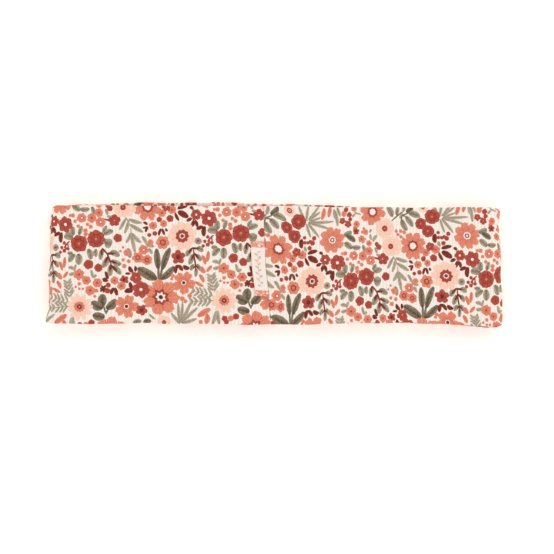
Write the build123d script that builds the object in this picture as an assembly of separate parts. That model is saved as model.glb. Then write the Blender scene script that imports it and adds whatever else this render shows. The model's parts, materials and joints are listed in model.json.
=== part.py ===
from build123d import *
import os

# A wide headband of ribbed jersey, lying flat: a closed loop of cloth whose upper and lower
# layers meet in a round fold at each end.
#
# Frame, in millimetres: X runs along the flattened loop, Y across the cloth, and Z is up.
# The origin is the middle of the underside. The head goes through the loop along Y.
#
# The wall of the loop is two panels of the same printed jersey, one outside and a lining inside.
# Each panel turns an allowance of cloth inwards along both long edges, and again at its cross
# seam, where its two short ends meet. The lining is the mirror of the outer panel in this:
# its allowances face the outer panel's.

# Driving dimensions of the band
BAND_LENGTH = 208.0
BAND_WIDTH = 56.0
BAND_HEIGHT = 10.0
PLY = 0.6
ALLOWANCE = 6.0

# The outer panel's cross seam leans a little, and lies left of the middle of the upper layer
SEAM_X = -4.4
SEAM_LEAN = 3.2
SEAM_GAP = 0.7

# The lining's cross seam is set over, so that its allowances don't lie on the outer panel's
LINING_SEAM_X = 12.6

# Sewing thread: a thin one round each long edge, and a thicker one in each cross seam
EDGE_THREAD = 0.3
CROSS_THREAD = 0.4
THREAD_CLEARANCE = 0.03

# The ribbon label: folded in half, with both of its ends caught in the cross seam
LABEL_WIDTH = 25.0
LABEL_REACH = 6.2
LABEL_Y = -1.6
LABEL_ROOT = 0.3
LABEL_LIFT = 0.1
RIBBON = 0.25
RIBBON_GAP = 0.16
TAIL_LENGTH = 5.0

# Heights of the middle of each layer, measured from the loop's middle plane
OUTER_PLY = BAND_HEIGHT / 2 - PLY / 2
OUTER_ALLOWANCE = OUTER_PLY - PLY
LINING_ALLOWANCE = OUTER_ALLOWANCE - PLY
LINING_PLY = LINING_ALLOWANCE - PLY

# Other sizes worked out from the driving dimensions
STRAIGHT = BAND_LENGTH - BAND_HEIGHT
FOLD_Y = BAND_WIDTH / 2 - PLY
LABEL_THICKNESS = 2 * RIBBON + RIBBON_GAP
LOOP_MIDDLE = Pos(0, 0, BAND_HEIGHT / 2)


def carry_round(section):
    """Carry a section, drawn with X as height over the middle plane, round the whole loop."""
    upright = Rot(0, -90, 0) * section
    upper_run = extrude(upright, STRAIGHT / 2, both=True)
    right_end = Pos(STRAIGHT / 2, 0, 0) * revolve(upright, Axis.Y, 180)
    half_turn = Rot(0, 180, 0)
    loop = upper_run + right_end + half_turn * upper_run + half_turn * right_end
    return LOOP_MIDDLE * loop


def panel_section(ply, allowance):
    """One panel cut across: a flat ply, and along both long edges a fold and an allowance."""
    fold = (ply + allowance) / 2
    section = Pos(ply, 0) * Rectangle(PLY, 2 * FOLD_Y)
    turned_in = ALLOWANCE - PLY
    for side in (-1, 1):
        section += Pos(allowance, side * (FOLD_Y - turned_in / 2)) * Rectangle(PLY, turned_in)
        section += Pos(fold, side * FOLD_Y) * Circle(PLY)
    return section


def cross_seam(x, lean):
    """The place of a cross seam: its X lies across the seam, and its Y along it."""
    return LOOP_MIDDLE * Pos(x, 0, 0) * Rot(0, 0, lean)


def panel(ply, allowance, seam):
    """One panel of the loop, with its two short ends folded under on each side of the seam."""
    fold = (ply + allowance) / 2
    panel_solid = carry_round(panel_section(ply, allowance))
    opened = Box(2 * ALLOWANCE + SEAM_GAP, BAND_WIDTH - ALLOWANCE, PLY)
    panel_solid += seam * Pos(0, 0, allowance) * opened
    gap = Box(SEAM_GAP + 2 * PLY, BAND_WIDTH + ALLOWANCE, 2 * PLY)
    panel_solid -= seam * Pos(0, 0, fold) * gap
    for side in (-1, 1):
        end_fold = Rot(90, 0, 0) * Cylinder(PLY, BAND_WIDTH - PLY)
        panel_solid += seam * Pos(side * (SEAM_GAP / 2 + PLY), 0, fold) * end_fold
    return panel_solid


def edge_thread(side):
    """The thread of a long seam, lying in the groove between the two panels' edge folds."""
    reach = PLY + EDGE_THREAD / 2
    groove_y = FOLD_Y + (reach**2 - PLY**2) ** 0.5 + THREAD_CLEARANCE
    groove = (OUTER_ALLOWANCE + LINING_ALLOWANCE) / 2
    return carry_round(Pos(groove, side * groove_y) * Circle(EDGE_THREAD / 2))


def cross_thread(ply, allowance, seam):
    """The thread of a cross seam, between the folds of the panel's two short ends."""
    thread = Rot(90, 0, 0) * Cylinder(CROSS_THREAD / 2, 2 * FOLD_Y)
    return seam * Pos(0, 0, (ply + allowance) / 2) * thread


def label_tail(seam):
    """The label's caught ends: down through the seam, then left under the allowance."""
    thickness = 2 * RIBBON
    under_side = OUTER_ALLOWANCE - PLY / 2
    room = under_side - (LINING_PLY + PLY / 2)
    low = under_side - (room + thickness) / 2
    top = BAND_HEIGHT / 2
    upright = Pos(0, LABEL_Y, (low + top) / 2) * Box(thickness, LABEL_WIDTH, top - low)
    across = Pos(-TAIL_LENGTH / 2, LABEL_Y, low + thickness / 2)
    tail = upright + across * Box(TAIL_LENGTH, LABEL_WIDTH, thickness)
    return seam * tail


def label_flap(seam):
    """The label's loop of ribbon: two plies with a thin space between, round at the fold."""
    outside = SlotOverall(LABEL_REACH, LABEL_THICKNESS)
    inside = SlotOverall(LABEL_REACH - 2 * RIBBON, RIBBON_GAP)
    ribbon = extrude(Plane.XZ * (outside - inside), LABEL_WIDTH / 2, both=True)
    height = BAND_HEIGHT / 2 + LABEL_LIFT + LABEL_THICKNESS / 2
    return seam * Pos(-LABEL_ROOT - LABEL_REACH / 2, LABEL_Y, height) * ribbon


def build():
    """Every sub-part of the headband, by name."""
    outer_seam = cross_seam(SEAM_X, SEAM_LEAN)
    lining_seam = cross_seam(LINING_SEAM_X, 0)
    return {
        "outer_panel": panel(OUTER_PLY, OUTER_ALLOWANCE, outer_seam),
        "lining_panel": panel(LINING_PLY, LINING_ALLOWANCE, lining_seam),
        "upper_seam_thread": edge_thread(1),
        "lower_seam_thread": edge_thread(-1),
        "cross_seam_thread": cross_thread(OUTER_PLY, OUTER_ALLOWANCE, outer_seam),
        "lining_cross_seam_thread": cross_thread(LINING_PLY, LINING_ALLOWANCE, lining_seam),
        "label_tail": label_tail(outer_seam),
        "label_flap": label_flap(outer_seam),
    }


os.makedirs("parts", exist_ok=True)
for name, solid in build().items():
    export_step(solid, f"parts/{name}.step")
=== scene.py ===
import json
import math
from functools import partialmethod

import bpy
import numpy as np
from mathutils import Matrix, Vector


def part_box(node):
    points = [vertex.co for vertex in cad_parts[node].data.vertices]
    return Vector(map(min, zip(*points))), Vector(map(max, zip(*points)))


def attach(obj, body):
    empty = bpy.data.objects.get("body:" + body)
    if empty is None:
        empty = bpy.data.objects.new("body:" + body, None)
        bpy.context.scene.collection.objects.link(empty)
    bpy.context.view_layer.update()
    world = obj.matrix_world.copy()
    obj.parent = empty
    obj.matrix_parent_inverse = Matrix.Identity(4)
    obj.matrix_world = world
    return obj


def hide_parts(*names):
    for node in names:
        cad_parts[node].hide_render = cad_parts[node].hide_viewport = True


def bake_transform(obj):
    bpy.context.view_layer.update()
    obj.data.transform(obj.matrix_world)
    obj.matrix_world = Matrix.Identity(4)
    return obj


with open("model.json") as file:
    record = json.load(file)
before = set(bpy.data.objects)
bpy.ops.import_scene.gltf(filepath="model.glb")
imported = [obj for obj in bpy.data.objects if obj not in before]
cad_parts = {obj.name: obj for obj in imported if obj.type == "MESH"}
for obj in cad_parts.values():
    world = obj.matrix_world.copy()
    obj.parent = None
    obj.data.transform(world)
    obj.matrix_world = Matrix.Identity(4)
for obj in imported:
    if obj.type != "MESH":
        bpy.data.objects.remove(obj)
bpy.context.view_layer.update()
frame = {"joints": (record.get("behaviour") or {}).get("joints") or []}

# A wide headband of printed rib jersey, lying flat: an outer panel and a lining, sewn together
# along both long edges, with a small ribbon label caught in the outer panel's cross seam.
# Lengths are in millimetres up to the point where a mesh is made, and MM turns them into metres.
MM = 0.001

# ---- sizes


def box_mm(node):
    """The lowest and the highest corner of a CAD node, in millimetres."""
    low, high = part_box(node)
    return np.array(low) / MM, np.array(high) / MM


def middle_x(node):
    """The middle of a CAD node in X, in millimetres."""
    low, high = box_mm(node)
    return (low[0] + high[0]) / 2


outer_low, outer_high = box_mm("outer_panel")
lining_top = box_mm("lining_panel")[1][2]
hinge = frame["joints"][0]

FOLD_RADIUS = (outer_high[2] - outer_low[2]) / 2
MID_HEIGHT = outer_low[2] + FOLD_RADIUS
RUN_END = outer_high[0] - FOLD_RADIUS
TWO_PLIES = outer_high[2] - lining_top
PLY = TWO_PLIES / 2
HALF_WIDTH = outer_high[1]
EDGE_V = HALF_WIDTH - PLY
LINING_RADIUS = FOLD_RADIUS - 2 * TWO_PLIES
SEAM_X = middle_x("cross_seam_thread")
SEAM_SLOPE = hinge["axis"][0] / hinge["axis"][1]
LINING_SEAM_X = middle_x("lining_cross_seam_thread")

# The loop unrolled: u is X along the upper layer's right part, and goes on round the right fold,
# along the lower layer and round the left fold to the upper layer's left part.
FOLD = math.pi * FOLD_RADIUS
TURN_U = np.cumsum([-RUN_END, 2 * RUN_END, FOLD, 2 * RUN_END, FOLD, 2 * RUN_END])
TURN_X = np.array([-1, 1, 1, -1, -1, 1]) * RUN_END
TURN_ANGLE = np.array([0, 0, 1, 1, 2, 2]) * math.pi
LOOP = 4 * RUN_END + 2 * FOLD

# The end folds are flatter than a circle
FOLD_SQUARENESS = 2.7
FOLD_STEPS = 400

# The jersey's ribs, and where the allowance turned in along a long edge ends
RIB = 1.53
RIB_DEPTH = 0.2
ALLOWANCE_V = 22.0


def smooth(t):
    """0 up to t = 0, 1 from t = 1 on, and an even change between them."""
    t = np.clip(t, 0, 1)
    return t * t * (3 - 2 * t)


def eased(u, anchors):
    """A curve through the anchors' values, level at each of them."""
    places = np.array([a[0] for a in anchors], float)
    values = np.array([a[1] for a in anchors], float)
    u = np.clip(u, places[0], places[-1])
    i = np.clip(np.searchsorted(places, u, side="right") - 1, 0, len(places) - 2)
    t = smooth((u - places[i]) / (places[i + 1] - places[i]))
    return values[i] + (values[i + 1] - values[i]) * t


def waves(place, parts):
    """The sum of small waves, each with its height, its length over 2 pi and its start."""
    return sum(height * np.sin(place / length + start) for height, length, start in parts)


def fold_line():
    """An end fold's line: shares of its length, and how far out and up it is there."""
    turn = np.linspace(0, math.pi, FOLD_STEPS)
    out = np.abs(np.sin(turn)) ** (2 / FOLD_SQUARENESS)
    up = np.sign(np.cos(turn)) * np.abs(np.cos(turn)) ** (2 / FOLD_SQUARENESS)
    run = np.concatenate([[0], np.cumsum(np.hypot(np.diff(out), np.diff(up)))])
    return run / run[-1], out, up


def round_loop(right, lower, left):
    """Anchors at unrolled places, from those at X on the upper right, lower and upper left parts."""
    lower = [(2 * RUN_END + FOLD - x, value) for x, value in lower]
    return right + lower + [(x + LOOP, value) for x, value in left]


# How the long edges wander, as Y at X
FAR_EDGE = round_loop(
    [(-20, 27.0), (0, 26.9), (25, 26.6), (50, 26.4), (99, 26.4)],
    [(99, 25.6), (50, 26.3), (25, 27.5), (0, 28.2), (-25, 28.9), (-60, 28.7), (-85, 28.2), (-99, 27.4)],
    [(-99, 27.4), (-60, 27.2), (-20, 27.0), (0, 26.9), (25, 26.6)],
)
NEAR_EDGE = round_loop(
    [(-20, -27.2), (0, -27.3), (57, -26.5), (72, -26.8), (85, -27.4), (99, -28.5)],
    [(99, -28.8), (88, -28.0), (72, -27.0), (55, -26.6), (0, -26.2), (-80, -26.2), (-99, -26.8)],
    [(-99, -27.0), (-60, -26.8), (-20, -27.2), (0, -27.3), (25, -27.0)],
)
# Small waves of the long edges and of the end folds: height, length over 2 pi and start
FAR_WAVES = [(0.12, 6.1, 0), (0.08, 2.7, 1)]
NEAR_WAVES = [(0.12, 5.3, 2), (0.08, 2.9, 0)]
FOLD_WAVES = [(0.22, 3.3, 0), (0.16, 1.9, 1)]
# How far the long edges draw in at the right and the left end fold, and the angles between them
FAR_PULL = [1.1, 1.9]
NEAR_PULL = [1.4, 0.9]
RIGHT_TO_LEFT = [0.9 * math.pi, 1.1 * math.pi]
# The ends lean. A lean is a shift in X at mid width, and how much it grows over LEAN_WIDTH.
END_FROM, END_LENGTH = 60, 35
RIGHT_LEAN = (-0.5, -0.9)
LEFT_LEAN = (0.25, 0.65)
LEAN_WIDTH = 27
# The near left corner juts out
CORNER_JUT, JUT_FROM, JUT_LENGTH = 1.0, 19, 6
# How far the upper layer sags between its folds, at X, and how much of that is less at the edges
SAG = [(-99, 0.0), (-58, -1.1), (-12, -0.4), (0, -0.35), (24, -0.6), (62, -1.2), (99, 0.0)]
MID_SAG = 0.2
# The upper layer's ripples, which are higher along the edges
RIPPLE, RIPPLE_ALONG, RIPPLE_SLANT, RIPPLE_ACROSS = 0.1, 7.0, 9.0, 6.0
EDGE_RIPPLE, EDGE_RIPPLE_ALONG = 0.22, 8.3
EDGE_ZONE_FROM, EDGE_ZONE = 17, 10
# How far the lower layer's edges curl up off the floor, and where along the band that fades
LOWER_CURL = 1.4
CURL_END, CURL_FADE = 96, 12

fold_run, fold_out, fold_up = fold_line()


def end_share(x):
    """How much of an end's shape a place has, by its distance towards that end."""
    return smooth((x - END_FROM) / END_LENGTH)


def end_shift(x, y):
    """How far the two ends lean, as a change in X."""
    right = end_share(x) * (RIGHT_LEAN[0] + RIGHT_LEAN[1] * y / LEAN_WIDTH)
    left = end_share(-x) * (LEFT_LEAN[0] + LEFT_LEAN[1] * y / LEAN_WIDTH)
    return right + left


def place_across(u, v, angle):
    """Y of a point between the two long edges, which wander and draw in at the end folds."""
    fold = np.abs(np.sin(angle)) ** 3
    far = eased(u, FAR_EDGE) + waves(u, FAR_WAVES) - np.interp(angle, RIGHT_TO_LEFT, FAR_PULL) * fold
    near = eased(u, NEAR_EDGE) + waves(u, NEAR_WAVES) + np.interp(angle, RIGHT_TO_LEFT, NEAR_PULL) * fold
    return near + (far - near) * (v + HALF_WIDTH) / (2 * HALF_WIDTH)


def settled(x, v, top):
    """How far the cloth lies above or below flat. Top is 1 on the upper layer, 0 on the lower one."""
    edge = smooth((np.abs(v) - EDGE_ZONE_FROM) / EDGE_ZONE)
    bow = 1 - MID_SAG + MID_SAG * np.cos(math.pi * v / (2 * HALF_WIDTH))
    ripple = RIPPLE * np.sin(x / RIPPLE_ALONG + v / RIPPLE_SLANT) * np.sin(v / RIPPLE_ACROSS + 1)
    edge_ripple = edge * EDGE_RIPPLE * np.sin(x / EDGE_RIPPLE_ALONG + np.sign(v) * 2)
    curl = LOWER_CURL * edge * smooth((CURL_END - np.abs(x)) / CURL_FADE)
    return top * (eased(x, SAG) * bow + ripple + edge_ripple) + (1 - top) * curl


def cloth_point(u, v, r):
    """Where a point of the loop lies: u is along the loop, v across it, and r from its middle plane."""
    angle = np.interp(u, TURN_U, TURN_ANGLE)
    on_left = angle > math.pi
    share = np.where(on_left, 2 - angle / math.pi, angle / math.pi)
    out = np.interp(share, fold_run, fold_out) * np.where(on_left, -1, 1)
    up = np.interp(share, fold_run, fold_up)
    y = place_across(u, v, angle)

    x = np.interp(u, TURN_U, TURN_X)
    jut = CORNER_JUT * end_share(-x) * smooth((-y - JUT_FROM) / JUT_LENGTH)
    x = x + r * out
    x = x + end_shift(x, y)
    x = x + np.abs(np.sin(angle)) * (waves(y, FOLD_WAVES) - jut)
    z = MID_HEIGHT + r * up + settled(x, v, (1 + up) / 2)
    return np.stack([x, y, z], axis=-1)


# ---- the print


def table(text):
    """A table in words: each row's name, and its other words, with the numbers read."""
    entries = {}
    for name, *words in map(str.split, text.strip().splitlines()):
        entries[name] = [word if word.isidentifier() else float(word) for word in words]
    return entries


# Inks, each with a light and a dark colour, as screen values from 0 to 255
INKS = table("""
cream 255 246 237 248 235 223
coral 233 145 119 211 114 91
dark_coral 206 102 82 188 84 68
brick 186 86 71 160 62 51
dark_brick 160 63 52 136 48 39
maroon 138 60 45 106 42 31
blush 254 215 194 248 196 173
sage 194 180 160 152 137 116
moss 184 172 150 120 107 86
olive 149 133 111 88 73 55
white 254 246 237 249 236 224
""")
# Flowers: petals, how deep the gaps between them are, their roundness, a notch in each petal, then
# the sizes of a ring, its scallops, the eye and a pip, and the inks of petals, ring, eye and pip.
# Sizes are shares of the flower's radius.
FLOWERS = table("""
blush_daisy 9 .28 .5 0 .43 .08 .18 .12 blush brick white dark_brick
primrose 5 .66 .42 .1 0 0 .2 .14 coral coral white maroon
big_coral 7 .4 .38 0 .42 .14 .24 .12 coral brick white maroon
ring_coral 8 .47 .38 0 .38 .05 .23 0 coral brick white white
rose 7 .1 .5 0 .56 .08 .46 .15 brick dark_brick brick coral
open_daisy 11 .38 .7 0 .38 .08 .18 .045 blush coral dark_brick blush
brick_eye 6 .26 .5 0 0 0 0 .18 brick brick brick white
brick_star 5 .36 .8 0 0 0 .3 0 brick brick maroon maroon
coral_ring 6 .24 .5 0 .46 .06 .25 0 coral brick coral coral
coral_white 6 .22 .5 0 .34 0 .24 .18 coral dark_coral coral white
coral_pip 6 .24 .5 0 0 0 0 .2 coral coral coral brick
coral_dot 4 .12 .5 0 0 0 0 0 coral coral coral coral
brick_dot 5 .16 .5 0 0 0 0 0 brick brick brick brick
brick_pip 5 .32 .6 0 0 0 0 .18 brick brick brick coral
blush_brick 10 .2 .5 0 .29 .08 0 .04 blush brick brick blush
splat 5 .72 .7 0 0 0 0 0 maroon maroon maroon maroon
cream_ring 8 .42 .35 0 .27 .04 .18 .09 coral white dark_brick white
sage_disc 4 .05 .5 0 0 0 0 .36 moss moss moss brick
""")
# Leaves and stems are called by their ink. Each has how much its vein shows and how blunt it is.
LEAVES = table("""
maroon 0 .5
olive .7 .52
sage .4 .52
moss .5 .52
coral .3 .52
maroon_stem 0 .25
olive_stem 0 .25
sage_stem 0 .25
brick_stem 0 .25
""")
INK_NAMES = list(INKS)
KINDS = list(FLOWERS) + list(LEAVES)

# One repeat of the print, in millimetres: its step along the cloth, and its rise. A flower has its
# kind, middle and radius. An entry without a kind has the kind of the one before it.
REPEAT = (66.2, 3.0)
FLOWER_PLACES = """
big_coral -52.5 -14.8 7.6; blush_daisy -42.7 13.2 6.3; primrose -42 -8.2 5.2; rose -23.7 12.6 3.7
-15.9 14.7 3.8; open_daisy -23.5 -16.2 5.7; brick_eye -30.4 21.3 3.5; -36.3 22.8 2.4
brick_star -44.5 3.6 3.1; ring_coral -58.5 26.6 6.1; coral_ring -51.6 10.2 2.9
coral_white -22.4 24.3 2.1; coral_pip -17.8 24.2 2.1; coral_white -13.8 22.4 2.2; coral_dot -26.5 25.5 1
-28 25.4 .7; -25.5 22.8 .8; -24 20.5 .8; -19.8 21.3 .8; -18.3 20.2 .9; -20.7 18.5 1; -20.6 16.9 1
brick_dot -7.6 23.2 1; -7.5 24.6 1.3; -9.1 23.4 1.2; -5.9 23.4 1.3; -8.4 21.8 1.2; -6.6 21.8 1.2
-6 15 1.9; coral_pip -23.7 -1.5 2.4; -20.2 -4.2 2.0; -15.3 -5.3 2.1; -18.6 -8.7 2.2
coral_dot -23.5 -5.8 .8; -25.2 -7.2 .6; -23.5 -8 .6; -21.9 -8 .6; -15.7 -8.8 .9; -16.4 -11.4 .7
brick_dot -19.3 3.2 2.1; -14.8 1.6 1.8; -31 12.8 .8; -32.3 10.7 .8; -31 9.3 .9; -29.1 10.2 .8
-33.1 8.6 .75; -30.6 10.9 .6; sage_disc -35.4 10.8 1.5; coral_pip -52 23.7 1.8; -47.4 25.2 1.9
brick_pip -50 26.5 2; brick_dot -48.3 21.2 1.6; -53.2 20.7 1.2; coral_pip -51.2 18.8 1.6; -56 17.9 1.8
brick_dot -55.2 14.3 1.1; -57.8 13.6 .9; coral_dot -57.2 10.1 1.4; splat -12.4 -7.9 1.6
brick_dot -10.5 -6.1 .9; -10.3 -8.9 .9; coral_white -60.4 6.8 2.2; coral_ring -63 3.1 2.4; -58.8 2.1 2.3
coral_dot -68.1 5.3 1.5; -69.8 7.8 .6; -71 6 .6; -69.7 2 .8; -67.2 1.4 .9; -69.2 -.8 1
brick_pip -63.9 -6 2.6; brick_eye -61.6 -11.5 3.7; brick_star -69.3 -7 2; coral_pip -70.5 -9.8 1.9
-73.7 -7.4 1.8; brick_dot -76.5 -9.4 1.1; -76.9 -12 1.2; splat -79 -11.3 1.5; primrose -68.2 -19.2 5.4
brick_star -61.2 -21 2.5; blush_brick -68.8 26.2 4.5; big_coral -9.4 -28.2 7; brick_dot -23.3 -24.5 1.3
coral_dot -20.5 -24.3 1.3; brick_dot -18 -23.3 1.4; -22.5 -26 1.1; blush_brick -51 -26.2 3.1
coral_dot -47 -5 .9; -47.5 -6.3 .7; -45.5 -17 .8; -44.3 -14.9 .8; -42.7 -15.5 1.1; -41.2 -16.7 .9
-39.3 -14.2 1; -34.2 -26 .9
"""
# A leaf has its kind, base, tip and width.
LEAF_PLACES = """
sage -68.5 20.8 -71.3 15.8 1.1; -67.2 20 -69 14.3 1.1; -67 20.6 -61.4 19.2 1.3; -66.7 18.2 -60.8 15 1.4
-66.2 14.3 -68.3 10 1.1; -65.9 14.2 -61.7 10.2 1.4; -66 13.4 -64.3 5.6 1.2; -61 12.9 -59 9.4 1.1
-59 9.3 -55.7 8.4 1.1; -58 7.4 -56.5 5 1.1; sage_stem -68.4 21.3 -66.4 17.4 .4; -66.2 16.6 -65.9 12.6 .3
sage -28.6 -26.8 -26.6 -20.3 1.3; -25.7 -26.8 -26.6 -20.3 1.3; -28.9 -26.9 -27.7 -22.6 1.2
moss -65 -26.4 -61.5 -26 1.5; olive -60.4 -26.4 -57 -26 1.5; sage -57.8 -22.9 -55.1 -25 .8
-44 -26.6 -47.8 -22 1.1; -43.7 -26.2 -44.5 -17.8 1.1; -43.3 -26 -42.6 -17 1; -43 -26.2 -38.4 -16.8 1.1
-42.8 -26.3 -35.8 -19.8 1.2; -42.6 -26.5 -36.2 -24.6 1.1; coral -30.7 6.2 -31.2 1.6 1.2
-33.5 4.2 -32.1 .4 1.2; -34 -.9 -32.4 -3.6 1.5; -29.3 -.4 -31.5 -3 1.1; -34.7 -4.6 -32.9 -7.9 1.3
-36.6 -7.8 -33 -9.7 1.1; -35.4 -23.5 -30 -20.1 1.9; -31.1 -22.6 -31.9 -26.7 1.8
sage -26 1 -28.8 1.7 1.2; -26 .3 -25 3 .9; -26 -.9 -28.5 -1.6 1.2; -17.7 -2.4 -18.2 .5 1
-17.5 -2.8 -15.6 -1.8 1.1; moss -26.4 16.4 -26.4 20.2 1.9; -26.6 15.4 -31 15.8 2.5
-23.6 16.6 -22.4 20.4 1.4; -26.7 8.2 -29.3 8.3 1.4; -25.6 7.5 -28.6 4.3 1.9; -23.8 7.8 -23.8 3.1 2.2
-19.4 10 -18.2 5.6 2; -15.9 10 -15.9 6.7 1.5; -12.6 17.8 -11.1 20.6 1.3; -12.2 16.9 -8.2 18.3 1.9
-12 13.4 -8.6 13.1 3.1; -67.6 7.2 -66.6 3.2 1.7; olive_stem -53.2 -8.5 -53.6 -1 .7; -53.2 -8.5 -52 -1 .7
olive -53.6 -1.8 -54.4 7 2.1; -51.7 -1.8 -48.4 7.5 2.1; -52.4 -6.6 -46.6 -.9 2.1
-54.6 -6.6 -62.8 -1.8 3.1; olive_stem -11.2 -19.5 -12.7 -15 .5; -11.2 -19 -10.2 -16 .5
olive -12.9 -15.9 -12.9 -10.6 2.8; -13 -16.9 -17.8 -14 2.8; -11.1 -17 -6.8 -13.2 2.6
-12.1 -21 -17.2 -19.9 2.6; moss -36 7.7 -33.2 6.3 1.8; -38.6 7 -40.6 4 1.7; -38 4.6 -39.4 .3 1.6
-36.2 4.6 -34.2 1.8 1.5; -37 0 -38.8 -2.5 1.4; -36 .2 -34.6 -2.5 1.3; -36.4 -1.6 -36.6 -5.3 1.2
-78.8 7.2 -80 2.4 1.6; -75.4 5.9 -71.5 3.9 1.9; -76.8 3.2 -79 -1.2 2; -74.8 1.8 -70.7 .1 1.8
-75.7 -.6 -75.8 -5.1 1.8; -74.3 -.9 -70.9 -4.4 1.8; maroon -44.7 25.8 -40.3 27 1.3
-44.5 24.4 -40.1 21.8 1.9; -45.9 23.8 -44.2 20.4 1; -39.2 26.3 -37.6 25.3 1; -40.6 20 -38.3 21.2 1.1
-38.5 17.3 -37.5 20.2 1.2; -36.8 20.2 -35.8 17.3 1.1; -36.1 16.2 -33.2 17.5 1.2
-32.4 17.5 -32.8 13.1 1.5; -53.4 13.4 -52.5 16.5 .9; -51.9 16.5 -50.9 13.7 .9; -50.3 16.7 -49.4 15.4 .8
-45.8 -3.7 -45 0 1.2; -44.5 0 -42.5 -2.6 1.2; -42.2 -.5 -39.5 -1.8 1.4; -60.5 19.5 -58.6 18.4 .9
-60.7 16.8 -58.3 17.3 .7; -58.4 17.2 -59.5 15 .9; -11.7 -.2 -11 -2.6 1; -13 -3.6 -10.6 -3.4 .8
-67 -1 -65.3 -3.6 1.3; -64.2 -.8 -64.2 -3.2 1; -68.7 -4.2 -66.4 -4.2 .8; -66.7 -8.2 -65.3 -11.3 1.3
-69 -12.3 -65.4 -12.2 1.6; -77.7 -4.1 -76.5 -6.4 1; -79 -7.2 -76.6 -7.2 .9; -75.3 -13.6 -74.1 -10.7 1.1
-73.5 -10.7 -72.5 -14.1 1.2; maroon_stem -12 23.7 -9 23.2 .5; maroon -39.8 5.2 -37.8 7.8 .8
-38.3 7.6 -35.2 7.3 .7; maroon_stem -37.5 7.2 -36.7 0 .4; maroon -37 5.2 -38.6 2.3 .7
-36.9 5.2 -35.4 2.8 .7; -36.9 2.6 -36.5 -.6 .5; maroon_stem -36.7 0 -36.5 -3 .4; -36.5 0 -37.6 -1.8 .4
-36.5 0 -35.4 -1.6 .4; -79.4 7.4 -77 4.9 .5; -77 4.9 -75.2 .4 .5; maroon -79.5 7 -79.4 4.3 .7
-77.1 4.9 -74 4.8 .8; -76.7 3.6 -78.1 .9 .8; -75.3 1.7 -72.6 .6 .7; -75.4 .2 -75.8 -2.6 .9
-75 -.4 -72.6 -3.2 .8; brick_stem -28.4 13.6 -31 10.8 .5; -29.2 12.8 -29 10.2 .4
-30.2 11.6 -30.4 9.4 .4
"""
# Parts of the print that only its far half shows, as they lie on the band's right part
RIGHT_FLOWERS = """
blush_daisy 6.4 25 2.7; rose 5.2 17.2 2.6; 10.6 20 3.3; 8.7 13.2 2.8; coral_dot 31.3 23.9 1.3
brick_dot 33.8 23.4 1.2; 32.3 25.8 1.1; brick_pip 30.6 20.6 1.5; 33.2 19.1 1.6; brick_dot 34.2 21.3 1
coral_dot 35.9 26.2 1.3; coral_pip 37.1 19 1.6; coral_dot 36.4 17.4 1; brick_star 36.9 15.7 1.6
coral_dot 41.2 15.4 1.3; 40.4 17 .7; 39.8 15.4 .8; coral_pip 39.4 12.1 1.6; cream_ring 26 11.8 5.7
brick_dot 13.3 12.7 .8; 17.7 12.4 1; 16 10.8 .9; 14.8 10.4 .8; 17 10.2 1.1; 15.6 7.9 1; 13.4 10.4 .8
coral_pip 42.8 10.2 1.4; ring_coral 44.4 24.8 6; coral_dot 56 14.2 .8; 57.3 15.9 .9; 55.2 15.8 .8
57.4 13.2 .8; blush_brick 50 17 4.5; 52.7 8.7 4.3; brick_dot 46.3 9.8 1; 47.3 8.4 1.3
coral_pip 42.8 6.6 1.9; coral_dot -3.4 13.8 .9
"""
RIGHT_LEAVES = """
olive -2.1 23.4 1.2 26.4 1.9; moss -.7 23 4.7 20.6 2.1; -2.5 21.2 1.3 16.8 1.9; -4.6 19.6 -2 14.9 2
sage -3.4 27 -4.1 23.4 1.2; -5.8 20.2 -4.4 23.2 .9; olive_stem -4.4 21.9 -.8 23.2 .4
-4.4 21.6 -2.2 21.2 .4; -4.6 21.6 -5.4 18 .4; moss 53.4 22.6 51.2 27 2; 55.4 23.3 56.2 27 1.4
olive_stem 53.2 20.6 57.8 24.8 .4; maroon 12 12 12 8 1.5; sage 13.4 8.6 14.2 6.4 1; 13.6 20.5 10.6 27 .9
14.1 20.6 15.1 27.3 .9; 14.8 20.6 19.9 27.2 .9; 15 20.3 20.4 24.4 .9; 15.6 19.9 20.8 22 .8
15.4 19.6 26.2 20.4 1; 15.4 19.3 24.2 17 1; 15 19 19.8 13 1; 14.3 18.8 16.1 13 .9
coral 22.4 26.2 21.2 21.2 1.4; 25.1 27.2 24.2 22.5 1.3; sage 26.9 26.2 27.2 21.8 .9
27.3 25.2 28.4 18.5 1.2; 28.2 26.7 29.6 22.8 1; moss 31.3 13.8 34.7 15.6 2
olive 32.8 13.4 36.4 11.1 1.8; moss 31.7 10.4 34.9 7.7 1.9; 35.2 8.4 38.8 8.3 1.6; 39.9 9.2 40.8 6 1.3
sage 39.8 10.2 41.2 12.6 .9; 43.4 14.4 43.9 11.8 .9; 44.6 11.2 46.4 13.9 1.1; 43 15.2 43.9 16.7 .8
sage_stem 36.2 24.6 39 23.6 .5; sage 35.2 22.4 36.6 23.8 .8; 45.6 8.2 46.4 5.6 1; 46.2 5 48.2 4.7 .9
"""
# Fern fronds have the stem's base and tip, how long and wide the leaflets are, and how many pairs.
FERNS = [
    (-27.9, -12.2, -29.4, -4.6, 3.8, 0.8, 5),
    (-28.4, -14.0, -38.2, -11.8, 3.8, 0.8, 5),
    (-28.6, -16.2, -39.0, -16.8, 3.7, 0.8, 5),
]
FERN_STEM, FERN_FIRST, FERN_TAPER = 0.3, 0.4, 0.35
LEAFLET_OUT, LEAFLET_AHEAD = 0.72, 0.68

# How much larger than listed the flowers, the leaves' lengths and the widths are drawn
FLOWER_SPREAD, LENGTH_SPREAD = 1.08, 1.09
LEAF_SPREAD, STEM_SPREAD = 1.48, 1.7
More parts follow.
